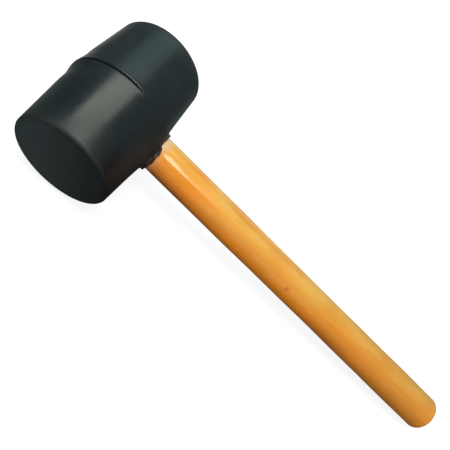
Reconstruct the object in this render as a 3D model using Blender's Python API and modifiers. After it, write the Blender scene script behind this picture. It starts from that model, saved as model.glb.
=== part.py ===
"""Rubber mallet: a moulded rubber head wedged on a turned hardwood handle in a blind eye.

Run with blender --background --python part.py. Units are metres. The mallet lies on its
side on z = 0: the handle runs along +X, the head from face to face along Y, and Z is up.
The origin is the middle of the bounding box's underside.
"""

import math

import bmesh
import bpy

GAP = 0.0003  # left between pieces that touch

# Rubber head
HEAD_LENGTH = 0.112  # from striking face to striking face
HEAD_RADIUS = 0.038  # of both halves where they meet, at the parting line
HEAD_DRAFT = math.radians(3.5)  # each half tapers this much towards its face
FACE_ROUNDING = 0.002
FLASH_HEIGHT = 0.0007  # the thin ridge left round the parting line
FLASH_WIDTH = 0.0016
BOSS_RADIUS = 0.0151  # the collar round the eye, on the handle's side
BOSS_REACH = 0.0396  # its end plane, from the head's axis
BOSS_FLARE = 0.003  # the fillet that spreads the collar into the head
BOSS_ROUNDING = 0.0006

# Handle, with distances from the head's axis
NECK_RADIUS = 0.01315  # where it leaves the collar
BUTT_RADIUS = 0.0150
BUTT_REACH = 0.353
BUTT_ROUNDING = 0.0016
BUTT_CROWN = 0.0020  # height of the dome on the butt's end
TENON_REACH = 0.0260  # how far the tenon goes past the head's axis, in the blind eye
TENON_SHOULDER = 0.034  # where the handle starts to taper inside the eye
WAIST_RADIUS = 0.0122  # the tightest place of the tenon
WAIST_OFFSET = 0.002  # how far the waist is past the head's axis
TENON_RADIUS = 0.0129  # at the shoulder, and at the end that the wedge spreads

# Wedge in the tenon's end, driven home by the floor of the eye
WEDGE_TOP = 0.0042  # thickness at the tenon's end
WEDGE_TIP = 0.0010
WEDGE_DEPTH = 0.030
WEDGE_WIDTH = 2 * BOSS_RADIUS  # of its blank, which is trimmed to the tenon
KERF_RUNOUT = 0.002  # the kerf is sawn this much deeper than the wedge goes

TURNED_STEPS = 96
HALF_STEP = math.pi / TURNED_STEPS  # turns the handle and the eye off the head's own edges
ARC_STEPS = 4

# The flash ridge is the head's outermost line, below and at the top, and the box is centred on x = 0
AXIS_HEIGHT = HEAD_RADIUS + FLASH_HEIGHT
HEAD_X = (AXIS_HEIGHT - BUTT_REACH) / 2

QUARTER = math.pi / 2


def clear_scene():
    """Starts from an empty scene."""
    for obj in list(bpy.data.objects):
        bpy.data.objects.remove(obj, do_unlink=True)


def new_collection(name):
    """A collection in the scene."""
    made = bpy.data.collections.new(name)
    bpy.context.scene.collection.children.link(made)
    return made


def material(name, colour, roughness, metallic=0.0):
    """A Principled material of one colour."""
    made = bpy.data.materials.new(name)
    made.use_nodes = True
    shader = made.node_tree.nodes["Principled BSDF"]
    shader.inputs["Base Color"].default_value = (*colour, 1.0)
    shader.inputs["Roughness"].default_value = roughness
    shader.inputs["Metallic"].default_value = metallic
    return made


def place(mesh, name, rotation, collection):
    """An object on the head's centre, where the head's and the handle's axes cross."""
    obj = bpy.data.objects.new(name, mesh)
    obj.location = (HEAD_X, 0, AXIS_HEIGHT)
    obj.rotation_euler = rotation
    collection.objects.link(obj)
    return obj


def arc(centre, radius, start, end):
    """Points on an arc in the profile's plane, angles from the radial direction."""
    turns = [start + (end - start) * i / ARC_STEPS for i in range(ARC_STEPS + 1)]
    return [(centre[0] + radius * math.cos(t), centre[1] + radius * math.sin(t)) for t in turns]


def turned(name, profile, rotation, collection, start=HALF_STEP):
    """A solid of revolution about local Z. The profile is (radius, height), top to bottom."""
    mesh = bpy.data.meshes.new(name)
    edges = [(i, i + 1) for i in range(len(profile) - 1)]
    points = [(r * math.cos(start), r * math.sin(start), h) for r, h in profile]
    mesh.from_pydata(points, edges, [])
    obj = place(mesh, name, rotation, collection)
    screw = obj.modifiers.new("turn", "SCREW")
    screw.steps = TURNED_STEPS
    screw.render_steps = TURNED_STEPS
    screw.use_merge_vertices = True
    screw.merge_threshold = 0.00001
    return obj


def tapered_bar(name, reach, depth, width, top, tip, collection):
    """A wedge along the handle's axis: its top is at -reach, its tip depth further in."""
    shape = bmesh.new()
    bmesh.ops.create_cube(shape, size=1.0)
    for vert in shape.verts:
        at_tip = vert.co.x > 0
        thickness = tip if at_tip else top
        x = depth - reach if at_tip else -reach
        vert.co = (x, vert.co.y * width, vert.co.z * thickness)
    mesh = bpy.data.meshes.new(name)
    shape.to_mesh(mesh)
    shape.free()
    return place(mesh, name, (0, 0, 0), collection)


def boolean(obj, operation, other):
    """Joins, cuts or trims obj with other, which is then only a guide."""
    step = obj.modifiers.new(other.name, "BOOLEAN")
    step.operation = operation
    step.solver = "EXACT"
    step.object = other
    other.hide_render = True
    other.display_type = "WIRE"


def head_profile():
    """Both tapered halves of the head, with the rounded face edges and the flash ridge."""
    half = HEAD_LENGTH / 2
    slope = math.tan(HEAD_DRAFT)
    ridge = FLASH_WIDTH / 2
    edge_radius = HEAD_RADIUS - half * slope
    centre = (edge_radius - FACE_ROUNDING, half - FACE_ROUNDING)
    upper = [(0, half)] + arc(centre, FACE_ROUNDING, QUARTER, HEAD_DRAFT)
    upper += [(HEAD_RADIUS - ridge * slope, ridge), (HEAD_RADIUS + FLASH_HEIGHT, ridge / 4)]
    return upper + [(r, -h) for r, h in reversed(upper)]


def boss_profile():
    """The collar round the eye: a rounded rim and a fillet that spreads into the head."""
    rim = arc((BOSS_RADIUS - BOSS_ROUNDING, BOSS_REACH - BOSS_ROUNDING), BOSS_ROUNDING, QUARTER, 0)
    foot = HEAD_RADIUS - BOSS_FLARE
    fillet = arc((BOSS_RADIUS + BOSS_FLARE, foot), BOSS_FLARE, 2 * QUARTER, 3 * QUARTER)
    return [(0, BOSS_REACH)] + rim + fillet[:-1] + [(BOSS_RADIUS + BOSS_FLARE / 2, 0), (0, 0)]


def tenon_profile(play):
    """The part of the handle inside the eye, butt side first. The eye itself has more play."""
    return [
        (NECK_RADIUS + play, BOSS_REACH),
        (TENON_RADIUS + play, TENON_SHOULDER),
        (WAIST_RADIUS + play, -WAIST_OFFSET),
        (TENON_RADIUS + play, -TENON_REACH),
    ]


def handle_profile():
    """The whole handle from the middle of the butt to the middle of the tenon's end."""
    flat = BUTT_RADIUS - BUTT_ROUNDING
    end = BUTT_REACH - BUTT_CROWN
    corner = arc((flat, end - BUTT_ROUNDING), BUTT_ROUNDING, QUARTER, 0)
    dome = [(0, BUTT_REACH), (flat * 0.5, BUTT_REACH - BUTT_CROWN * 0.25)]
    return dome + corner + tenon_profile(0) + [(0, -TENON_REACH)]


def eye_profile():
    """The blind hole in the head, run out past the boss."""
    past = HEAD_RADIUS * 1.5
    bore = tenon_profile(GAP)
    floor = -TENON_REACH - GAP
    return [(0, past), (bore[0][0], past)] + bore + [(bore[-1][0], floor), (0, floor)]


def kerf_cutter(collection):
    """The sawn slot for the wedge: the wedge's shape with the gap all round, open at the end."""
    slope = (WEDGE_TOP - WEDGE_TIP) / WEDGE_DEPTH
    open_by = 0.01
    return tapered_bar(
        "kerf",
        TENON_REACH + open_by,
        WEDGE_DEPTH + open_by + KERF_RUNOUT,
        WEDGE_WIDTH + 2 * GAP,
        WEDGE_TOP + 2 * GAP + slope * open_by,
        WEDGE_TIP + 2 * GAP - slope * KERF_RUNOUT,
        collection,
    )


def make_head(parts, guides):
    """The moulded rubber head with its boss and its blind eye."""
    head = turned("rubber_head", head_profile(), (-QUARTER, 0, 0), parts, start=0)
    boolean(head, "UNION", turned("boss", boss_profile(), (0, QUARTER, 0), guides))
    boolean(head, "DIFFERENCE", turned("eye", eye_profile(), (0, QUARTER, 0), guides))
    return head


def make_handle_and_wedge(parts, guides):
    """The handle, and the wooden wedge in the kerf at its tenon's end."""
    handle = turned("handle", handle_profile(), (0, QUARTER, 0), parts)
    wedge_size = (TENON_REACH, WEDGE_DEPTH, WEDGE_WIDTH, WEDGE_TOP, WEDGE_TIP)
    wedge = tapered_bar("wood_wedge", *wedge_size, parts)
    boolean(wedge, "INTERSECT", turned("wedge_trim", handle_profile(), (0, QUARTER, 0), guides))
    boolean(handle, "DIFFERENCE", kerf_cutter(guides))
    return handle, wedge


def finish_mesh(obj, look):
    """Applies the modifiers, then sets the shading and the material."""
    state = obj.evaluated_get(bpy.context.evaluated_depsgraph_get())
    obj.data = bpy.data.meshes.new_from_object(state)
    obj.modifiers.clear()
    obj.data.shade_smooth()
    obj.data.set_sharp_from_angle(angle=math.radians(30))
    obj.data.materials.clear()
    obj.data.materials.append(look)


def main():
    clear_scene()
    parts = new_collection("rubber_mallet")
    guides = new_collection("cutters")
    head = make_head(parts, guides)
    handle, wedge = make_handle_and_wedge(parts, guides)
    bpy.context.view_layer.update()
    finish_mesh(head, material("black_rubber", (0.020, 0.023, 0.024), 0.45))
    finish_mesh(handle, material("lacquered_hardwood", (0.62, 0.31, 0.07), 0.25))
    finish_mesh(wedge, material("wedge_hardwood", (0.55, 0.36, 0.17), 0.65))


main()
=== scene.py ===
"""Looks of the rubber mallet: a fine head and handle round the CAD frame, and the studio.

The near mould half is at -Y and the far one at +Y. The head's top is the side away from the
handle. Angles round the head are counted from the handle over the upper side to the head's top,
and angles round the handle and the collar from +Y over the upper side.
"""

import math

import bmesh
import bpy
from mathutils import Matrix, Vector, noise


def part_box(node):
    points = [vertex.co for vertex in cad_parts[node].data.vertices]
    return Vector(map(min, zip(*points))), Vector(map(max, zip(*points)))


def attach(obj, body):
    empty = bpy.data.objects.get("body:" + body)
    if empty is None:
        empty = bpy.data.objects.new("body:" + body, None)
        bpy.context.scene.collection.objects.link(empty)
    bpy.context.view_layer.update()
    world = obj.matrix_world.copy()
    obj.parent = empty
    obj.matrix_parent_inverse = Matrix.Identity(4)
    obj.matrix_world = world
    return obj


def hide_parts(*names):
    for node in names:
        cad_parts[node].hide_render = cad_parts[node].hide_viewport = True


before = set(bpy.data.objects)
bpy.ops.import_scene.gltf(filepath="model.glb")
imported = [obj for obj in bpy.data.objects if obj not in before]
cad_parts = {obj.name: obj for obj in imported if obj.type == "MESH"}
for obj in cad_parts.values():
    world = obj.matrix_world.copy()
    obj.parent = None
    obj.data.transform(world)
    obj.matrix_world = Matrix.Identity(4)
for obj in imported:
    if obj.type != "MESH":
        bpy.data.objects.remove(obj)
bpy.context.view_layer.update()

MM = 0.001

# The mallet, measured from the crossing of the head's and the handle's axes, as in the CAD
HEAD_HALF = 56.0 * MM
HEAD_RADIUS = 38.0 * MM
HEAD_DRAFT = math.radians(3.5)
NECK_RADIUS = 13.15 * MM
BUTT_RADIUS = 15.0 * MM
BUTT_REACH = 353.0 * MM
BUTT_ROUNDING = 1.6 * MM
BUTT_CROWN = 2.0 * MM
TENON_REACH = 26.0 * MM
TENON_SHOULDER = 34.0 * MM
TENON_RADIUS = 12.9 * MM
NECK_TAPER = 5.6 * MM  # from the shoulder to the place where NECK_RADIUS is measured
WAIST_RADIUS = 12.2 * MM
WAIST_X = -2.0 * MM
HEAD_CENTRE = Vector((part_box("handle")[1].x - BUTT_REACH, 0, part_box("rubber_head")[1].z / 2))

# The two mould halves don't quite meet: the far one sits a little towards the head's top
FAR_SHIFT = 0.6 * MM
FAR_GROWTH = 0.3 * MM
STEP_WIDTH = 0.16 * MM

# Angles round the head, in degrees, over which the parting line opens and closes again, and
# over which the forms of the head's top set in and fade out
SEAM_OPENS = (76, 92)
SEAM_CLOSES = (300, 250)
TOP_STARTS = (118, 160)
TOP_ENDS = (242, 200)
GROOVE_DEPTH = 0.95 * MM
GROOVE_WIDTH = 0.3 * MM
TOP_FLARE = 0.8 * MM
LIP_HEIGHT = 0.22 * MM

# Rounding and crown of the near and the far striking face
FACE_SHAPES = {-1: (1.8 * MM, 0.5 * MM), 1: (2.3 * MM, 1.0 * MM)}

# The mesh of the head
TURNS = 240
BLOCK_TURNS = 24  # half the width of the square round the eye, in turns
BLOCK_REACH = 24.0 * MM  # and its half length along the head
PATCH_RINGS = 9
BORE_RINGS = 20

# The collar round the eye
BOSS_RADIUS = 15.15 * MM
NEAR_GROWTH = 0.4 * MM  # how much thicker it is on the near mould half
NEAR_FILLET = 5.5 * MM
FAR_FILLET = 3.0 * MM
BOSS_EDGE = 0.5 * MM
BOSS_LEAST = 0.9 * MM  # the least height of the rim over the head
SLIT_DEPTH = 2.3 * MM
SLIT_LEVEL = 3.0 * MM  # below the rim
SLIT_WIDTH = 0.9 * MM
EYE_PLAY = 0.12 * MM

# The collar's reach along the handle, in mm: on the far half, how much more on the near half,
# and how far it is torn back
FAR_COLLAR = 38.2
NEAR_COLLAR_MORE = 2.1
TORN_DEPTH = 1.1

# The mesh of the handle: rings are closer together by the collar
HANDLE_TURNS = 96
FINE_STEP = 0.8 * MM
COARSE_STEP = 3.2 * MM
TENON_CHAMFER = 0.4 * MM
NECK_FLAT_DEPTH = 0.44 * MM

# The slot for the wedge
WEDGE_TIP_HALF = 0.5 * MM
KERF_ROOM = 0.1 * MM
KERF_RUNOUT = 2 * MM
KERF_OPEN = 1 * MM  # how far its cutter sticks out of the tenon's end

# The studio
LENS = 40.27
SENSOR = 36
CAMERA_PLACE = (12.95, -192.67, 296.05)  # in mm from the head's centre
CAMERA_TURN = (15.707, -32.509, 35.263)  # in degrees
FLOOR_SIZE = 16.0
BACKDROP_RADIUS = FLOOR_SIZE * 0.48
BELLY_ROOM = 0.45 * MM  # room under the head for the lips of the parting line
PAPER_GLOW = 0.84


def ramp(value, start, end):
    """Rises smoothly from 0 at start to 1 at end, or falls if end is lower."""
    t = min(max((value - start) / (end - start), 0.0), 1.0)
    return t * t * (3 - 2 * t)


def hump(value, centre, width):
    """A smooth bump of height 1."""
    return math.exp(-(((value - centre) / width) ** 2))


def waviness(point, scale, strength):
    """Smooth noise over space, for surfaces that aren't perfect."""
    return noise.noise(Vector(point) / scale, noise_basis="PERLIN_NEW") * strength


def ring_waviness(angle, pace, level, strength):
    """Smooth noise round a circle."""
    place = Vector((math.cos(angle) * pace, math.sin(angle) * pace, level))
    return noise.noise(place) * strength


def new_piece(name, vertex, faces, sharp, look):
    """An object from points measured from the head's centre, closed and facing out."""
    mesh = bpy.data.meshes.new(name)
    mesh.from_pydata([v + HEAD_CENTRE for v in vertex], [], faces)
    shape = bmesh.new()
    shape.from_mesh(mesh)
    bmesh.ops.recalc_face_normals(shape, faces=shape.faces)
    shape.to_mesh(mesh)
    shape.free()
    mesh.shade_smooth()
    mesh.set_sharp_from_angle(angle=math.radians(sharp))
    mesh.materials.append(look)
    obj = bpy.data.objects.new(name, mesh)
    bpy.context.scene.collection.objects.link(obj)
    return obj


def bridge(faces, ring_a, ring_b):
    """Quads between two closed rings of vertices."""
    count = len(ring_a)
    for i in range(count):
        n = (i + 1) % count
        faces.append((ring_a[i], ring_a[n], ring_b[n], ring_b[i]))


def close_ring(vertex, faces, ring, tip):
    """A fan from a ring to a point."""
    middle = len(vertex)
    vertex.append(tip)
    for i in range(len(ring)):
        faces.append((ring[i], ring[(i + 1) % len(ring)], middle))


def add_ring(vertex, points):
    """Appends points and returns their indices."""
    first = len(vertex)
    vertex.extend(points)
    return list(range(first, len(vertex)))


def drop_loose(obj):
    """Removes the points that no face uses, such as those under the square round the eye."""
    shape = bmesh.new()
    shape.from_mesh(obj.data)
    loose = [v for v in shape.verts if not v.link_faces]
    bmesh.ops.delete(shape, geom=loose, context="VERTS")
    shape.to_mesh(obj.data)
    shape.free()


# ---------------------------------------------------------------- the head's surface


def seam_openness(turn):
    """How far the parting line gapes: 1 round the head's top, and nearly closed by the handle."""
    degrees = math.degrees(turn) % 360
    opened = ramp(degrees, *SEAM_OPENS) * ramp(degrees, *SEAM_CLOSES)
    return 0.05 + 0.95 * opened


def seam_offset(turn, y):
    """The groove along the parting line, its lips, and the near half's flare at the head's top."""
    degrees = math.degrees(turn) % 360
    gape = seam_openness(turn)
    ripple = 1 + ring_waviness(turn, 4, 3.1, 0.3)
    groove = -GROOVE_DEPTH * gape / (1 + (y / GROOVE_WIDTH) ** 2) ** 1.2
    top = ramp(degrees, *TOP_STARTS) * ramp(degrees, *TOP_ENDS)
    flare = TOP_FLARE * top * ramp(y, -6.5 * MM, -0.3 * MM) * ramp(y, 0.4 * MM, 0.1 * MM)
    lip = LIP_HEIGHT * gape * ripple * ramp(y, 0, 0.8 * MM) * hump(y, 0.9 * MM, 1.5 * MM)
    pinch = 0.35 * MM * hump(degrees, 77, 5.5) * hump(y, -1.5 * MM, 1.2 * MM)
    pinch += 0.18 * MM * hump(degrees, 84, 8) * hump(y, 1.3 * MM, 0.9 * MM)
    near_dip = -0.27 * MM * top * hump(y, -9.5 * MM, 3.5 * MM)
    far_dip = 0.4 * MM * top * hump(y, 10.5 * MM, 5 * MM)
    return groove + flare + lip + pinch + (near_dip - far_dip)


def far_share(y):
    """0 on the near mould half and 1 on the far one."""
    return ramp(y, -STEP_WIDTH / 2, STEP_WIDTH / 2)


def head_shift(y):
    """How far a mould half's axis is off the head's."""
    return -FAR_SHIFT * far_share(y)


def head_radius(turn, y):
    """The radius of the head's side at an angle round it and a place along it."""
    growth = FAR_GROWTH * far_share(y) * (1 - abs(y) / HEAD_HALF)
    radius = HEAD_RADIUS - abs(y) * math.tan(HEAD_DRAFT) + growth
    swelling = 0.7 * MM * ramp(math.cos(turn), 0.72, 1.0) * hump(y, -10 * MM, 14 * MM)
    place = (math.cos(turn), y / HEAD_RADIUS, math.sin(turn))
    uneven = waviness(place, 0.9, 0.05 * MM) + waviness(place, 0.35, 0.018 * MM)
    return radius + seam_offset(turn, y) + swelling + uneven


def side_point(turn, y):
    """A point of the head's side."""
    radius = head_radius(turn, y)
    return Vector((head_shift(y) + radius * math.cos(turn), y, radius * math.sin(turn)))


def side_height(y, z):
    """How far from the head's axis its surface is, along the handle, at a place across it."""
    radius = HEAD_RADIUS
    for _ in range(2):
        across = math.sqrt(max(radius * radius - z * z, 0))
        radius = head_radius(math.atan2(z, across), y)
    return head_shift(y) + math.sqrt(max(radius * radius - z * z, 0))


def rows_along_head():
    """Places of the mesh rows along the head's side, close together at the parting line."""
    close = [0.04, 0.09, 0.16, 0.25, 0.36, 0.5, 0.66, 0.85, 1.1, 1.4, 1.75, 2.15, 2.6, 3.2, 4.0, 5.0]
    wide = [6.2, 7.6, 9.2, 11, 13, 15, 17, 19, 21, 22.5]
    half = [v * MM for v in close + wide]
    steps = 14
    rows = [0.0]
    for end in (-1, 1):
        rounding, crown = FACE_SHAPES[end]
        last = HEAD_HALF - rounding * (1 - math.sin(HEAD_DRAFT)) - crown
        rest = [BLOCK_REACH + (last - BLOCK_REACH) * i / steps for i in range(steps + 1)]
        rows += [end * v for v in half + rest]
    return sorted(rows)


def face_rings(end):
    """(distance in from the face's plane, radius) from the rounded edge to near the middle."""
    rounding, crown = FACE_SHAPES[end]
    flat = HEAD_RADIUS - HEAD_HALF * math.tan(HEAD_DRAFT) - rounding
    rings = []
    steps = 8
    for i in range(1, steps + 1):
        angle = HEAD_DRAFT + (math.pi / 2 - HEAD_DRAFT) * i / steps
        depth = rounding * (1 - math.sin(angle)) + crown
        rings.append((depth, flat + rounding * math.cos(angle)))
    for share in (0.97, 0.92, 0.85, 0.76, 0.66, 0.55, 0.44, 0.33, 0.22, 0.11):
        rings.append((crown * share * share, flat * share))
    return rings


def make_face(vertex, faces, ring, end):
    """One striking face, from the last row of the side to its middle."""
    shift = Vector((head_shift(end * HEAD_HALF), 0, 0))
    for depth, radius in face_rings(end):
        points = []
        for i in range(TURNS):
            turn = 2 * math.pi * i / TURNS
            place = Vector((radius * math.cos(turn), end * (HEAD_HALF - depth), radius * math.sin(turn)))
            uneven = waviness(place / HEAD_RADIUS, 0.5, 0.05 * MM) * ramp(radius, 0, 5 * MM)
            points.append(place + shift + Vector((0, uneven, 0)))
        inner = add_ring(vertex, points)
        bridge(faces, ring, inner)
        ring = inner
    close_ring(vertex, faces, ring, Vector((0, end * HEAD_HALF, 0)) + shift)


# ---------------------------------------------------------------- the collar and the eye


def block_rows(rows):
    """The first and last row of the square round the eye."""
    inside = [j for j, y in enumerate(rows) if abs(y) < BLOCK_REACH + MM / 10]
    return inside[0], inside[-1]


def square_loop(rows):
    """The (turn, row) steps round the square, from +Y towards +Z."""
    low, high = block_rows(rows)
    b = BLOCK_TURNS
    path = [(i, high) for i in range(0, b)]
    path += [(b, j) for j in range(high, low, -1)]
    path += [(i, low) for i in range(b, -b, -1)]
    path += [(-b, j) for j in range(low, high)]
    path += [(i, high) for i in range(-b, 0)]
    return [(i % TURNS, j) for i, j in path]


def near_side(angle):
    """1 where the collar belongs to the near mould half and 0 on the far one."""
    degrees = math.degrees(angle) % 360
    return ramp(degrees, 100, 108) * ramp(degrees, 282, 268)


def collar_reach(angle):
    """How far the collar reaches along the handle. Its halves differ, and its edge is torn."""
    degrees = math.degrees(angle) % 360
    torn = TORN_DEPTH * ramp(degrees, 40, 75) * ramp(degrees, 122, 100)
    ragged = ring_waviness(angle, 3.2, 0.4, 0.35) + ring_waviness(angle, 11, 5.0, 0.25)
    ragged += ring_waviness(angle, 23, 7.0, 0.18) * ramp(degrees, 60, 80) * ramp(degrees, 215, 200)
    return (FAR_COLLAR + NEAR_COLLAR_MORE * near_side(angle) - torn + ragged) * MM


def collar_groove(angle, below_rim):
    """The dark slit between the thin flash round the wood and the collar under it."""
    degrees = math.degrees(angle) % 360
    slit = SLIT_DEPTH * ramp(degrees, 102, 110) * ramp(degrees, 156, 142)
    return slit * hump(below_rim, SLIT_LEVEL, SLIT_WIDTH)


def tenon_radius(x):
    """The wood's radius inside the eye, tightest at its waist."""
    if x > TENON_SHOULDER:
        return TENON_RADIUS + (NECK_RADIUS - TENON_RADIUS) * (x - TENON_SHOULDER) / NECK_TAPER
    end = TENON_SHOULDER if x > WAIST_X else -TENON_REACH
    return WAIST_RADIUS + (TENON_RADIUS - WAIST_RADIUS) * (x - WAIST_X) / (end - WAIST_X)


def collar_wall(angle, radius, foot, rim):
    """(distance from the handle's axis, height) points up the fillet and the collar's side."""
    near = near_side(angle)
    fillet = FAR_FILLET + (NEAR_FILLET - FAR_FILLET) * near
    start = radius + fillet
    start_height = side_height(start * math.cos(angle), start * math.sin(angle))
    rise = 0.55 * (rim - foot)
    points = []
    for i in range(1, 9):
        t = i / 8
        bend = 2 * t * (1 - t)
        d = (1 - t) ** 2 * start + (bend + t * t) * radius
        h = (1 - t) ** 2 * start_height + bend * foot + t * t * (foot + rise)
        d += waviness((h * 8 / MM, angle * 6, 0), 9, 0.15 * MM) * t
        points.append((d - collar_groove(angle, rim - h), h))
    for i in range(1, 10):
        h = foot + rise + (rim - BOSS_EDGE - foot - rise) * i / 9
        d = radius + ring_waviness(angle, 9, h / MM * 0.6, 0.2 * MM) * near
        points.append((d - collar_groove(angle, rim - h), h))
    return points


def collar_rim(outer, rim):
    """(distance from the handle's axis, height) points over the rounded rim to the eye's mouth."""
    points = []
    for i in range(1, 6):
        turn = math.pi / 2 * i / 5
        points.append((outer - BOSS_EDGE * (1 - math.cos(turn)), rim - BOSS_EDGE * (1 - math.sin(turn))))
    inner = tenon_radius(rim) + EYE_PLAY
    outer -= BOSS_EDGE
    for share, drop in ((0.3, 0.02), (0.6, 0.08), (0.85, 0.2), (1.0, 0.4)):
        points.append((outer + (inner - outer) * share, rim - drop * MM))
    return points


def collar_section(angle):
    """(distance from the handle's axis, height) points from the fillet over the rim into the eye."""
    radius = BOSS_RADIUS + NEAR_GROWTH * near_side(angle)
    foot = side_height(radius * math.cos(angle), radius * math.sin(angle))
    rim = max(collar_reach(angle), foot + BOSS_LEAST)
    wall = collar_wall(angle, radius, foot, rim)
    return wall + collar_rim(wall[-1][0], rim)


def patch_points(corner, foot, y, z):
    """Points on the head's side, from the edge of the square to the collar's fillet."""
    points = []
    for k in range(1, PATCH_RINGS + 1):
        share = 1 - (1 - k / PATCH_RINGS) ** 1.3
        py = corner.y + (foot * y - corner.y) * share
        pz = corner.z + (foot * z - corner.z) * share
        points.append(Vector((side_height(py, pz), py, pz)))
    return points


def bore_points(mouth, y, z):
    """Points down the eye's wall and in over its floor."""
    floor = -TENON_REACH - EYE_PLAY
    points = []
    for k in range(1, BORE_RINGS + 1):
        x = mouth + (floor - mouth) * k / BORE_RINGS
        d = tenon_radius(x) + EYE_PLAY
        points.append(Vector((x, d * y, d * z)))
    for share in (0.75, 0.5, 0.25):
        d = TENON_RADIUS * share
        points.append(Vector((floor, d * y, d * z)))
    return points


def make_collar(vertex, faces, grid, rows):
    """The patch round the eye, its collar and the blind eye itself."""
    outer = [grid[j][i] for i, j in square_loop(rows)]
    columns = []
    for index in outer:
        corner = vertex[index]
        angle = math.atan2(corner.z, corner.y)
        y, z = math.cos(angle), math.sin(angle)
        section = collar_section(angle)
        column = patch_points(corner, section[0][0] + 0.6 * MM, y, z)
        column += [Vector((h, d * y, d * z)) for d, h in section]
        column += bore_points(column[-1].x, y, z)
        columns.append(column)
    ring = outer
    for k in range(len(columns[0])):
        inner = add_ring(vertex, [column[k] for column in columns])
        bridge(faces, ring, inner)
        ring = inner
    close_ring(vertex, faces, ring, Vector((-TENON_REACH - EYE_PLAY, 0, 0)))


def make_head(look):
    """The moulded head: side, faces, collar and eye as one closed mesh."""
    rows = rows_along_head()
    low, high = block_rows(rows)
    vertex, faces = [], []
    grid = []
    for y in rows:
        grid.append(add_ring(vertex, [side_point(2 * math.pi * i / TURNS, y) for i in range(TURNS)]))
    for j in range(len(rows) - 1):
        for i in range(TURNS):
            in_block = low <= j < high and (i < BLOCK_TURNS or i >= TURNS - BLOCK_TURNS)
            if not in_block:
                n = (i + 1) % TURNS
                faces.append((grid[j][i], grid[j][n], grid[j + 1][n], grid[j + 1][i]))
    make_face(vertex, faces, grid[0], -1)
    make_face(vertex, faces, grid[-1], 1)
    make_collar(vertex, faces, grid, rows)
    head = new_piece("moulded_head", vertex, faces, 55, look)
    drop_loose(head)
    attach(head, "root")
    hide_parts("rubber_head")


# ---------------------------------------------------------------- the handle


def handle_radius(x):
    """The handle's radius along it: a straight taper with a faint hand-turned swell."""
    neck_x = TENON_SHOULDER + NECK_TAPER
    if x < neck_x:
        return tenon_radius(x)
    t = (x - neck_x) / (BUTT_REACH - neck_x)
    swell = 0.12 * MM * math.sin(t * 9.0) + 0.05 * MM * math.sin(t * 31.0)
    return NECK_RADIUS + (BUTT_RADIUS - NECK_RADIUS) * t + swell * ramp(t, 0, 0.05)


def neck_flat(x, turn):
    """How deep the flatter strip along the neck's upper side is. It widens the gloss there."""
    along = ramp(x, 40 * MM, 43 * MM) * ramp(x, 100 * MM, 65 * MM)
    return NECK_FLAT_DEPTH * along * hump(math.degrees(turn), 104, 17)


def butt_rings(straight_end):
    """(place along the handle, radius) round the butt's edge and over its dome."""
    flat = handle_radius(straight_end) - BUTT_ROUNDING
    level = BUTT_REACH - BUTT_CROWN - BUTT_ROUNDING
    rings = []
    for i in range(0, 9):
        turn = math.radians(85) * i / 8
        rings.append((level + BUTT_ROUNDING * math.sin(turn), flat + BUTT_ROUNDING * math.cos(turn)))
    top_level, top_radius = rings[-1]
    for share in (0.9, 0.78, 0.64, 0.5, 0.36, 0.22, 0.1):
        rings.append((top_level + (BUTT_REACH - top_level) * (1 - share * share), top_radius * share))
    return rings


def handle_rings():
    """(place along the handle, radius), from the tenon's end to the butt's dome."""
    rings = [(-TENON_REACH, TENON_RADIUS - TENON_CHAMFER)]
    rings += [(x * MM, tenon_radius(x * MM)) for x in (-25.6, -20, -14, -8, -2, 6, 14, 22, 30, 34)]
    x = 35.5 * MM
    straight_end = BUTT_REACH - BUTT_CROWN - BUTT_ROUNDING - 1.0 * MM
    while x < straight_end:
        rings.append((x, handle_radius(x)))
        x += FINE_STEP if x < 42 * MM else COARSE_STEP
    return rings + butt_rings(straight_end)


def kerf_cutter():
    """A wedge-shaped bar that is just wider than the wedge and open at the tenon's end."""
    low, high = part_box("wood_wedge")
    shape = bmesh.new()
    bmesh.ops.create_cube(shape, size=1.0)
    tip_half = WEDGE_TIP_HALF + KERF_ROOM
    top_half = (high.z - low.z) / 2 + KERF_ROOM
    for vert in shape.verts:
        at_tip = vert.co.x > 0
        half = tip_half if at_tip else top_half
        vert.co.x = high.x + KERF_RUNOUT if at_tip else low.x - KERF_OPEN
        vert.co.y *= 4 * TENON_RADIUS
        vert.co.z = HEAD_CENTRE.z + math.copysign(half, vert.co.z)
    mesh = bpy.data.meshes.new("kerf")
    shape.to_mesh(mesh)
    shape.free()
    cutter = bpy.data.objects.new("kerf", mesh)
    bpy.context.scene.collection.objects.link(cutter)
    return cutter


def cut_kerf(handle):
    """Saws the slot for the wedge into the tenon's end."""
    cutter = kerf_cutter()
    step = handle.modifiers.new("kerf", "BOOLEAN")
    step.operation = "DIFFERENCE"
    step.object = cutter
    bpy.context.view_layer.update()
    state = handle.evaluated_get(bpy.context.evaluated_depsgraph_get())
    cut = bpy.data.meshes.new_from_object(state)
    handle.modifiers.clear()
    handle.data = cut
    bpy.data.objects.remove(cutter)


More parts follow.
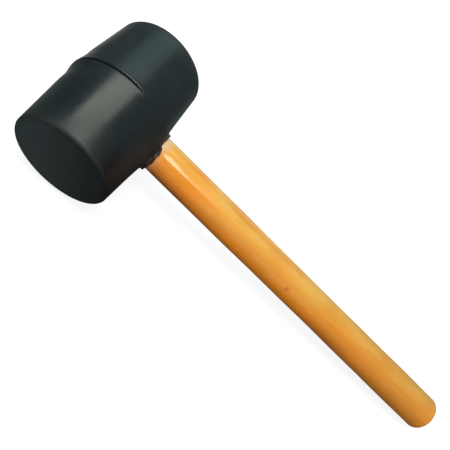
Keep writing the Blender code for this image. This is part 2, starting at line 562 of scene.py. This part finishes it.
def make_handle(look):
    """The turned stick with its tenon, sawn for the wedge."""
    vertex, faces = [], []
    rings = []
    for x, radius in handle_rings():
        points = []
        for i in range(HANDLE_TURNS):
            turn = 2 * math.pi * (i + 0.5) / HANDLE_TURNS
            place = Vector((x / (60 * MM), math.cos(turn), math.sin(turn)))
            r = radius * (1 + 0.005 * noise.noise(place * 1.3) * ramp(x, 40 * MM, 60 * MM))
            r -= neck_flat(x, turn)
            points.append(Vector((x, r * math.cos(turn), r * math.sin(turn))))
        rings.append(add_ring(vertex, points))
    for a, b in zip(rings, rings[1:]):
        bridge(faces, a, b)
    close_ring(vertex, faces, rings[0], Vector((-TENON_REACH, 0, 0)))
    close_ring(vertex, faces, rings[-1], Vector((BUTT_REACH, 0, 0)))
    handle = new_piece("turned_handle", vertex, faces, 40, look)
    cut_kerf(handle)
    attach(handle, "root")
    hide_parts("handle")


# ---------------------------------------------------------------- nodes


def new_material(name):
    """A node material: the material, its nodes and its shader."""
    made = bpy.data.materials.new(name)
    made.use_nodes = True
    return made, made.node_tree, made.node_tree.nodes["Principled BSDF"]


def add(tree, kind, **values):
    """Adds a node. A name in values is an input socket or, if there is none, a property."""
    node = tree.nodes.new(kind)
    for key, value in values.items():
        if key.replace("_", " ") in node.inputs:
            node.inputs[key.replace("_", " ")].default_value = value
        else:
            setattr(node, key, value)
    return node


def noise_at(tree, vector, scale, detail, rough):
    """A noise texture read at a vector, and its output."""
    node = add(tree, "ShaderNodeTexNoise", Scale=scale, Detail=detail, Roughness=rough)
    tree.links.new(vector, node.inputs["Vector"])
    return node.outputs["Fac"]


def mapped(tree, value, low, high, to_low, to_high):
    """A value moved from one range to another, and clamped to it."""
    node = add(tree, "ShaderNodeMapRange", From_Min=low, From_Max=high, To_Min=to_low, To_Max=to_high)
    tree.links.new(value, node.inputs["Value"])
    return node.outputs["Result"]


def wander(tree, noise_value, reach):
    """Noise turned into an offset of up to reach either way, to make a border waver."""
    return mapped(tree, noise_value, 0.3, 0.7, -reach, reach)


def mixed(tree, share, first, second):
    """Two colours mixed. Each is a colour or an output."""
    node = add(tree, "ShaderNodeMix", data_type="RGBA")
    tree.links.new(share, node.inputs["Factor"])
    for socket, colour in ((node.inputs[6], first), (node.inputs[7], second)):
        if isinstance(colour, tuple):
            socket.default_value = (*colour, 1)
        else:
            tree.links.new(colour, socket)
    return node.outputs[2]


def computed(tree, operation, first, second=0.0):
    """The result of a maths node. Each operand is a number or an output."""
    node = add(tree, "ShaderNodeMath", operation=operation)
    for socket, operand in ((node.inputs[0], first), (node.inputs[1], second)):
        if isinstance(operand, (int, float)):
            socket.default_value = operand
        else:
            tree.links.new(operand, socket)
    return node.outputs[0]


def product(tree, first, second):
    """The product of two values."""
    return computed(tree, "MULTIPLY", first, second)


def total(tree, first, *others):
    """The sum of two or more values."""
    for other in others:
        first = computed(tree, "ADD", first, other)
    return first


def vector_maths(tree, operation, vector, fixed=(0, 0, 0)):
    """The node that works on a vector and on a fixed one."""
    node = add(tree, "ShaderNodeVectorMath", operation=operation)
    node.inputs[1].default_value = fixed
    tree.links.new(vector, node.inputs[0])
    return node


def axes(tree, vector):
    """The x, y and z of a vector."""
    split = add(tree, "ShaderNodeSeparateXYZ")
    tree.links.new(vector, split.inputs[0])
    return split.outputs


def object_vector(tree, scale=(1, 1, 1)):
    """The object's own coordinates, measured from the head's centre and stretched."""
    where = add(tree, "ShaderNodeTexCoord")
    move = add(tree, "ShaderNodeMapping")
    move.inputs["Location"].default_value = [-c * s for c, s in zip(HEAD_CENTRE, scale)]
    move.inputs["Scale"].default_value = scale
    tree.links.new(where.outputs["Object"], move.inputs["Vector"])
    return move.outputs["Vector"]


def add_bump(tree, shader, height, strength, distance):
    """Bump from a height value."""
    bump = add(tree, "ShaderNodeBump", Strength=strength, Distance=distance)
    tree.links.new(height, bump.inputs["Height"])
    tree.links.new(bump.outputs["Normal"], shader.inputs["Normal"])


# ---------------------------------------------------------------- rubber


def eye_masks(tree, place):
    """Round the eye: rubber tinted brown, torn brown flash, dark lacquer on the rim, and a dull zone."""
    x, y, _ = axes(tree, place)
    flat = vector_maths(tree, "MULTIPLY", place, (0, 1, 1)).outputs["Vector"]
    out = vector_maths(tree, "LENGTH", flat).outputs["Value"]
    near = mapped(tree, y, 8 * MM, -6 * MM, 0.0, 1.0)
    patchy = noise_at(tree, place, 260.0, 4.0, 0.6)
    brown_round_eye = mapped(tree, total(tree, out, wander(tree, patchy, 2.5 * MM)), 23 * MM, 15 * MM, 0.0, 0.9)
    brown_round_eye = product(tree, brown_round_eye, mapped(tree, x, 30 * MM, 35 * MM, 0.0, 1.0))
    rim = mapped(tree, x, 37.2 * MM, 38.4 * MM, 0.0, 1.0)
    torn = noise_at(tree, place, 420.0, 3.0, 0.6)
    flash = product(tree, rim, mapped(tree, torn, 0.47, 0.62, 0.0, 0.8))
    flash = product(tree, flash, mapped(tree, out, 17.5 * MM, 16.5 * MM, 0.0, 1.0))
    flash = product(tree, flash, near)
    matt = mapped(tree, out, 58 * MM, 38 * MM, 0.0, 1.0)
    matt = product(tree, matt, mapped(tree, x, 14 * MM, 27 * MM, 0.0, 0.45))
    return brown_round_eye, flash, rim_lacquer(tree, x, y, out), product(tree, matt, near)


def rim_lacquer(tree, x, y, out):
    """Lacquer that ran onto the collar's rim, all over it on the far half."""
    half = mapped(tree, y, -2.4 * MM, -4.4 * MM, 0.0, 1.0)
    edge = total(tree, out, product(tree, half, 0.8 * MM))
    seep = mapped(tree, edge, 15.7 * MM, 14.9 * MM, 0.0, 0.9)
    level = computed(tree, "SUBTRACT", x, product(tree, half, 2.2 * MM))
    return product(tree, seep, mapped(tree, level, 35.9 * MM, 36.6 * MM, 0.0, 1.0))


def dust_and_painted_shade(tree, place):
    """Dust rubbed into the faces. On the near end the colour is also painted light and shade: lighter
    low and towards the head's top, darker towards the handle and up.
    """
    slope = vector_maths(tree, "DOT_PRODUCT", place, (-1.0, 0.0, -0.5)).outputs["Value"]
    # Painted light and shade across the near end: lighter low and towards the head's top
    share = mapped(tree, slope, -35 * MM, 8 * MM, 0.0, 1.0)
    near = mixed(tree, share, (0.0035, 0.0030, 0.0032), (0.0100, 0.0135, 0.0130))
    far_side = mapped(tree, axes(tree, place)[1], -5 * MM, 5 * MM, 0.0, 1.0)
    return mixed(tree, far_side, near, (0.0065, 0.0090, 0.0095))


def rubber_roughness(tree, place, out, worn, seep, brown_round_eye, matt):
    """Satin, duller where the rubber is worn, brown round the eye or lacquered and on the faces' rims.
    """
    smudge = noise_at(tree, place, 120.0, 3.0, 0.5)
    satin = mapped(tree, smudge, 0.3, 0.7, 0.24, 0.28)
    rough = total(tree, satin, product(tree, worn, 0.14))
    rim = mapped(tree, out, 52 * MM, 54 * MM, 0.0, 0.25)
    rim = product(tree, rim, mapped(tree, out, 55.6 * MM, 55.2 * MM, 0.0, 1.0))
    return total(tree, rough, rim, product(tree, seep, 0.4), product(tree, brown_round_eye, 0.2), matt)


def rubber_material():
    """Dark blue-green grey rubber: satin, more matt and a little dusty near the faces, with painted
    light and shade on the near end.
    """
    made, tree, shader = new_material("black_rubber")
    place = object_vector(tree)
    blotch = noise_at(tree, place, 45.0, 4.0, 0.55)
    out = computed(tree, "ABSOLUTE", axes(tree, place)[1])
    worn = mapped(tree, total(tree, out, wander(tree, blotch, 4 * MM)), 40 * MM, 52 * MM, 0.0, 1.0)
    patchy = mapped(tree, blotch, 0.35, 0.65, 0.0, 1.0)
    tone = mixed(tree, patchy, (0.0035, 0.0055, 0.0062), (0.0055, 0.0080, 0.0086))
    # Dust near the faces, with painted light and shade on the near end
    tone = mixed(tree, worn, tone, dust_and_painted_shade(tree, place))
    brown_round_eye, flash, seep, matt = eye_masks(tree, place)
    # Rubber tinted brown round the eye
    tone = mixed(tree, brown_round_eye, tone, (0.017, 0.0095, 0.006))
    tone = mixed(tree, flash, tone, (0.11, 0.060, 0.040))
    tone = mixed(tree, seep, tone, (0.05, 0.013, 0.004))
    tree.links.new(tone, shader.inputs["Base Color"])
    rough = rubber_roughness(tree, place, out, worn, seep, brown_round_eye, matt)
    tree.links.new(rough, shader.inputs["Roughness"])
    add_bump(tree, shader, noise_at(tree, place, 1000.0, 3.0, 0.5), 0.03, 0.0001)
    return made


# ---------------------------------------------------------------- wood


def painted_light_side(tree, place):
    """How much a point faces the far side and up, with wavering borders, to paint light and shade on the
    stick.

    The first value is for the stick's upper side; by the neck it is moved towards the shade, as
    painted shade next to the head. The second is raised along its middle, for the underside.
    """
    x, y, z = axes(tree, place)
    broad = noise_at(tree, object_vector(tree, (16, 70, 70)), 1.0, 3.0, 0.5)
    side = total(tree, product(tree, y, 0.75), product(tree, z, 0.66), wander(tree, broad, 4 * MM))
    # Painted shade: by the neck the shaded side reaches further, next to the head
    neck = mapped(tree, x, 105 * MM, 70 * MM, 0.0, -4 * MM)
    from_middle = computed(tree, "ABSOLUTE", computed(tree, "SUBTRACT", x, 155 * MM))
    middle = mapped(tree, from_middle, 65 * MM, 30 * MM, 0.0, 6 * MM)
    side = total(tree, side, neck)
    return side, total(tree, side, middle)


def dark_band_by_collar(tree, place):
    """The wood coloured near black in a band just outside the collar, reaching further on the near half.
    """
    x, y, _ = axes(tree, place)
    near = mapped(tree, y, -2.4 * MM, -7.5 * MM, 0.0, 3.1 * MM)
    patchy = noise_at(tree, place, 300.0, 3.0, 0.6)
    level = total(tree, computed(tree, "SUBTRACT", x, near), wander(tree, patchy, 0.6 * MM))
    return mapped(tree, level, 38.3 * MM, 37.7 * MM, 0.0, 0.96)


def thin_lacquer(tree, place):
    """How thin and pale the lacquer is just outside the collar."""
    x, y, _ = axes(tree, place)
    patchy = noise_at(tree, place, 200.0, 3.0, 0.6)
    level = total(tree, x, wander(tree, patchy, 1.5 * MM))
    far = mapped(tree, y, -8 * MM, 0.0, 0.35, 1.0)
    return product(tree, far, mapped(tree, level, 46 * MM, 40 * MM, 0.0, 0.9))


def dulling_to_butt(tree, place):
    """How much the lacquer's colour is dulled towards the butt."""
    patchy = noise_at(tree, place, 30.0, 3.0, 0.5)
    along = mapped(tree, axes(tree, place)[0], 150 * MM, 350 * MM, 0.0, 0.75)
    return product(tree, along, mapped(tree, patchy, 0.3, 0.7, 0.6, 1.0))


def fleck(tree, place, centre, size):
    """A small round mark with a soft edge. Its centre and size are in mm."""
    gap = vector_maths(tree, "DISTANCE", place, Vector(centre) * MM).outputs["Value"]
    return mapped(tree, gap, size * 1.5 * MM, size * 0.4 * MM, 0.0, 0.5)


def end_grain(tree, place):
    """The butt's cut end: a mask, and growth rings round a pith outside the stick."""
    from_pith = vector_maths(tree, "ADD", object_vector(tree, (0, 1, 1)), (0, 9 * MM, 34 * MM))
    length = vector_maths(tree, "LENGTH", from_pith.outputs["Vector"]).outputs["Value"]
    sway = mapped(tree, noise_at(tree, place, 60.0, 3.0, 0.5), 0.3, 0.7, 0.0, 1.2 * MM)
    ring_count = computed(tree, "DIVIDE", total(tree, length, sway), 2.4 * MM)
    phase = computed(tree, "FRACT", ring_count)
    pores = noise_at(tree, place, 1400.0, 2.0, 0.5)
    rings = mixed(tree, phase, (0.66, 0.30, 0.055), (0.34, 0.115, 0.016))
    speckled = mixed(tree, mapped(tree, pores, 0.56, 0.66, 0.0, 0.6), rings, (0.20, 0.06, 0.01))
    at_end = mapped(tree, axes(tree, place)[0], 351.0 * MM, 351.6 * MM, 0.0, 0.85)
    return at_end, speckled


def lacquer_colour(tree, place, fibre):
    """Amber lacquer on the stick, with painted light on top and painted shade below, mottled, dulled,
    fibred and marked.
    """
    side, low_side = painted_light_side(tree, place)
    # Painted light and shade: a pale lit copy of the lacquer on top, a dark shaded copy below, and
    # darker painted shade on the underside
    shaded_share = mapped(tree, side, 8.5 * MM, -3.5 * MM, 0.0, 1.0)
    under = mapped(tree, low_side, -5 * MM, -14 * MM, 0.0, 1.0)
    deepest_shade = mapped(tree, low_side, -14.5 * MM, -17 * MM, 0.0, 0.9)
    streak = noise_at(tree, object_vector(tree, (5, 130, 130)), 1.0, 6.0, 0.55)
    grain = mapped(tree, streak, 0.32, 0.68, 0.0, 1.0)
    pale = mixed(tree, grain, (0.68, 0.345, 0.058), (0.74, 0.40, 0.083))
    dark = mixed(tree, grain, (0.74, 0.195, 0.007), (0.86, 0.26, 0.013))
    tone = mixed(tree, under, mixed(tree, shaded_share, pale, dark), (0.58, 0.125, 0.017))
    tone = mixed(tree, deepest_shade, tone, (0.24, 0.045, 0.008))
    mottle = noise_at(tree, object_vector(tree, (30, 95, 95)), 1.0, 3.0, 0.55)
    tone = mixed(tree, mapped(tree, mottle, 0.45, 0.64, 0.0, 0.6), tone, (0.66, 0.215, 0.014))
    # The lacquer's colour duller towards the butt
    tone = mixed(tree, dulling_to_butt(tree, place), tone, (0.62, 0.235, 0.026))
    tone = mixed(tree, mapped(tree, fibre, 0.60, 0.72, 0.0, 0.35), tone, (0.42, 0.14, 0.018))
    tone = mixed(tree, fleck(tree, place, (175, -10.9, 8.6), 2.0), tone, (0.42, 0.08, 0.008))
    return mixed(tree, thin_lacquer(tree, place), tone, (0.67, 0.43, 0.24))


def lacquer_roughness(tree, place):
    """Glossy by the neck, duller and patchy along the stick, with one glossier place."""
    x = axes(tree, place)[0]
    patchy = noise_at(tree, object_vector(tree, (26, 80, 80)), 1.0, 3.0, 0.5)
    along = mapped(tree, x, 68 * MM, 90 * MM, 0.0, 0.14)
    from_patch = computed(tree, "ABSOLUTE", computed(tree, "SUBTRACT", x, 121 * MM))
    along = total(tree, along, mapped(tree, from_patch, 14 * MM, 5 * MM, 0.0, -0.08))
    return total(tree, mapped(tree, patchy, 0.35, 0.65, 0.08, 0.16), along)


def wood_material():
    """Amber-lacquered hardwood, with painted shade low on the near side, and dulled towards the butt."""
    made, tree, shader = new_material("lacquered_hardwood")
    place = object_vector(tree)
    fibre = noise_at(tree, object_vector(tree, (14, 520, 520)), 1.0, 4.0, 0.6)
    tone = lacquer_colour(tree, place, fibre)
    band_by_collar = dark_band_by_collar(tree, place)
    # The wood is near black just outside the collar
    tone = mixed(tree, band_by_collar, tone, (0.035, 0.009, 0.003))
    at_end, rings = end_grain(tree, place)
    tree.links.new(mixed(tree, at_end, tone, rings), shader.inputs["Base Color"])
    dull = computed(tree, "MAXIMUM", product(tree, at_end, 0.3), product(tree, band_by_collar, 0.75))
    rough = total(tree, lacquer_roughness(tree, place), dull)
    tree.links.new(rough, shader.inputs["Roughness"])
    add_bump(tree, shader, fibre, 0.08, 0.0002)
    return made


def wedge_material():
    """Bare hardwood with long fibres and the saw's cross marks."""
    made, tree, shader = new_material("wedge_hardwood")
    grain = noise_at(tree, object_vector(tree, (12, 300, 300)), 1.0, 5.0, 0.6)
    tone = mixed(tree, mapped(tree, grain, 0.3, 0.7, 0.0, 1.0), (0.36, 0.20, 0.09), (0.64, 0.43, 0.22))
    saw = noise_at(tree, object_vector(tree, (900, 40, 40)), 1.0, 2.0, 0.5)
    tone = mixed(tree, mapped(tree, saw, 0.5, 0.7, 0.0, 0.4), tone, (0.27, 0.15, 0.07))
    tree.links.new(tone, shader.inputs["Base Color"])
    rough = mapped(tree, grain, 0.3, 0.7, 0.62, 0.82)
    tree.links.new(rough, shader.inputs["Roughness"])
    add_bump(tree, shader, total(tree, grain, saw), 0.25, 0.0002)
    return made


# ---------------------------------------------------------------- studio

# The room round the mallet. Each patch has a direction, the cosines of the angles from it
# where the patch is full and where it ends, and a colour.
ROOM_LOW = (0.15, 0.185, 0.185)
ROOM_HIGH = (0.27, 0.36, 0.38)
HIGH_WINDOW = ((-0.35, 0.71, 0.61), 0.985, 0.87, (0.62, 1.02, 1.02))
BLUE_GLOW = ((-0.87, 0.42, 0.25), 0.98, 0.88, (0.29, 0.37, 0.46))
DARK_BELOW = ((0.62, -0.15, -0.77), 0.80, 0.66, (0.05, 0.045, 0.045))
PALE_BELOW = ((-0.30, -0.45, -0.85), 0.99, 0.93, (0.22, 0.29, 0.30))
DARK_BEHIND_BUTT = ((0.93, 0.20, 0.10), 0.95, 0.85, (0.10, 0.07, 0.07))
DARK_BEHIND_TOP = ((-0.97, -0.05, 0.05), 0.93, 0.80, (0.06, 0.075, 0.09))
PALE_LOW_FAR = ((-0.20, 0.75, -0.63), 0.985, 0.90, (0.42, 0.44, 0.42))
LOW_WINDOW = ((0.22, 0.97, -0.08), 0.9945, 0.94, (0.9, 0.9, 0.95))
ROOM_PATCHES = (
    HIGH_WINDOW,
    BLUE_GLOW,
    DARK_BELOW,
    PALE_BELOW,
    DARK_BEHIND_BUTT,
    DARK_BEHIND_TOP,
    PALE_LOW_FAR,
    LOW_WINDOW,
)


def room_patch(tree, where, colour, patch):
    """The room's colour with a soft round patch of another one."""
    direction, full, end, patch_colour = patch
    dot = vector_maths(tree, "DOT_PRODUCT", where, Vector(direction).normalized())
    share = add(tree, "ShaderNodeMapRange", interpolation_type="SMOOTHSTEP", From_Min=end, From_Max=full)
    tree.links.new(dot.outputs["Value"], share.inputs["Value"])
    return mixed(tree, share.outputs["Result"], colour, patch_colour)


def make_world():
    """A dim blue-green room with windows on the far side and dark places round the mallet."""
    world = bpy.data.worlds.new("studio")
    world.use_nodes = True
    tree = world.node_tree
    where = add(tree, "ShaderNodeTexCoord").outputs["Generated"]
    high = mapped(tree, axes(tree, where)[2], -0.3, 0.5, 0.0, 1.0)
    colour = mixed(tree, high, ROOM_LOW, ROOM_HIGH)
    for patch in ROOM_PATCHES:
        colour = room_patch(tree, where, colour, patch)
    tree.links.new(colour, tree.nodes["Background"].inputs["Color"])
    bpy.context.scene.world = world


def panel(name, centre, size, strength, colour, in_gloss=True):
    """A flat area light, placed in metres from the head's centre. It shines down until aimed."""
    data = bpy.data.lights.new(name, "AREA")
    data.shape = "RECTANGLE"
    data.size, data.size_y = size
    data.energy = strength * size[0] * size[1] * math.pi
    data.color = colour
    obj = bpy.data.objects.new(name, data)
    obj.location = HEAD_CENTRE + Vector(centre)
    obj.visible_camera = False
    obj.visible_glossy = in_gloss
    bpy.context.scene.collection.objects.link(obj)
    return obj


def aim(obj, target):
    """Turns a light towards a point."""
    obj.rotation_euler = (Vector(target) - obj.location).to_track_quat("-Z", "Y").to_euler()


def make_lights():
    """Two softboxes over the head that show in the gloss, and two big fills that don't."""
    panel("main_softbox", (-0.43, 0.575, 1.0), (1.14, 0.35), 3.9, (1.0, 1.0, 0.87))
    overhead = panel("overhead_softbox", (-0.15, -0.05, 1.0), (0.74, 0.45), 6.8, (1.0, 1.0, 0.88))
    overhead.data.shape = "ELLIPSE"
    middle = HEAD_CENTRE + Vector((0.15, 0, 0))
    far_fill = panel("side_fill", (0.3, 1.2, 1.3), (1.6, 1.2), 0.88, (1.0, 0.98, 0.95), in_gloss=False)
    aim(far_fill, middle)
    near_fill = panel("low_fill", (0.1, -1.25, 0.45), (1.4, 0.7), 2.0, (1.0, 0.98, 0.94), in_gloss=False)
    aim(near_fill, middle)


def make_camera():
    """A camera above the near side of the head, turned so that the handle runs down to the right."""
    data = bpy.data.cameras.new("camera")
    data.lens = LENS
    data.sensor_width = SENSOR
    data.clip_start = 0.01
    data.clip_end = 40
    obj = bpy.data.objects.new("camera", data)
    obj.location = HEAD_CENTRE + Vector(CAMERA_PLACE) * MM
    obj.rotation_euler = [math.radians(v) for v in CAMERA_TURN]
    bpy.context.scene.collection.objects.link(obj)
    bpy.context.scene.camera = obj


def glow_material(name, albedo, glow):
    """A matt material of one grey that also gives off white light."""
    made, tree, shader = new_material(name)
    shader.inputs["Base Color"].default_value = (albedo, albedo, albedo, 1)
    shader.inputs["Roughness"].default_value = 1.0
    shader.inputs["Specular IOR Level"].default_value = 0.0
    shader.inputs["Emission Color"].default_value = (1, 1, 1, 1)
    shader.inputs["Emission Strength"].default_value = glow
    return made


def paper_material():
    """The floor's paper. It glows more with distance, so that it runs into the backdrop."""
    made = glow_material("pale_paper", 0.25, PAPER_GLOW)
    tree = made.node_tree
    where = add(tree, "ShaderNodeTexCoord").outputs["Object"]
    away = vector_maths(tree, "LENGTH", where).outputs["Value"]
    glow = mapped(tree, away, 0.4, 2.0, PAPER_GLOW, 1.0)
    tree.links.new(glow, tree.nodes["Principled BSDF"].inputs["Emission Strength"])
    return made


def stage_object(name, shape, look):
    """A part of the studio, from a bmesh."""
    mesh = bpy.data.meshes.new(name)
    shape.to_mesh(mesh)
    shape.free()
    mesh.materials.append(look)
    obj = bpy.data.objects.new(name, mesh)
    bpy.context.scene.collection.objects.link(obj)
    return obj


def make_floor():
    """A pale floor that touches the head's belly and the butt, and throws no light back at them."""
    shape = bmesh.new()
    bmesh.ops.create_grid(shape, x_segments=1, y_segments=1, size=FLOOR_SIZE / 2)
    floor = stage_object("floor", shape, paper_material())
    slope = math.asin((HEAD_RADIUS - BUTT_RADIUS) / (BUTT_REACH - BUTT_CROWN))
    floor.rotation_euler = (0, -slope, 0)
    belly = (HEAD_RADIUS + BELLY_ROOM) * Vector((math.sin(slope), 0, -math.cos(slope)))
    floor.location = HEAD_CENTRE + belly
    floor.visible_glossy = False
    floor.visible_diffuse = False


def make_backdrop():
    """A pale backdrop all round, which only the camera sees."""
    shape = bmesh.new()
    bmesh.ops.create_uvsphere(shape, u_segments=48, v_segments=24, radius=BACKDROP_RADIUS)
    backdrop = stage_object("backdrop", shape, glow_material("pale_backdrop", 0.0, 1.0))
    for flag in ("visible_diffuse", "visible_glossy", "visible_transmission", "visible_shadow"):
        setattr(backdrop, flag, False)


make_camera()
make_head(rubber_material())
make_handle(wood_material())
bpy.data.objects["wood_wedge"].material_slots[0].material = wedge_material()
make_floor()
make_backdrop()
make_lights()
make_world()
bpy.context.scene.view_settings.view_transform = "Standard"
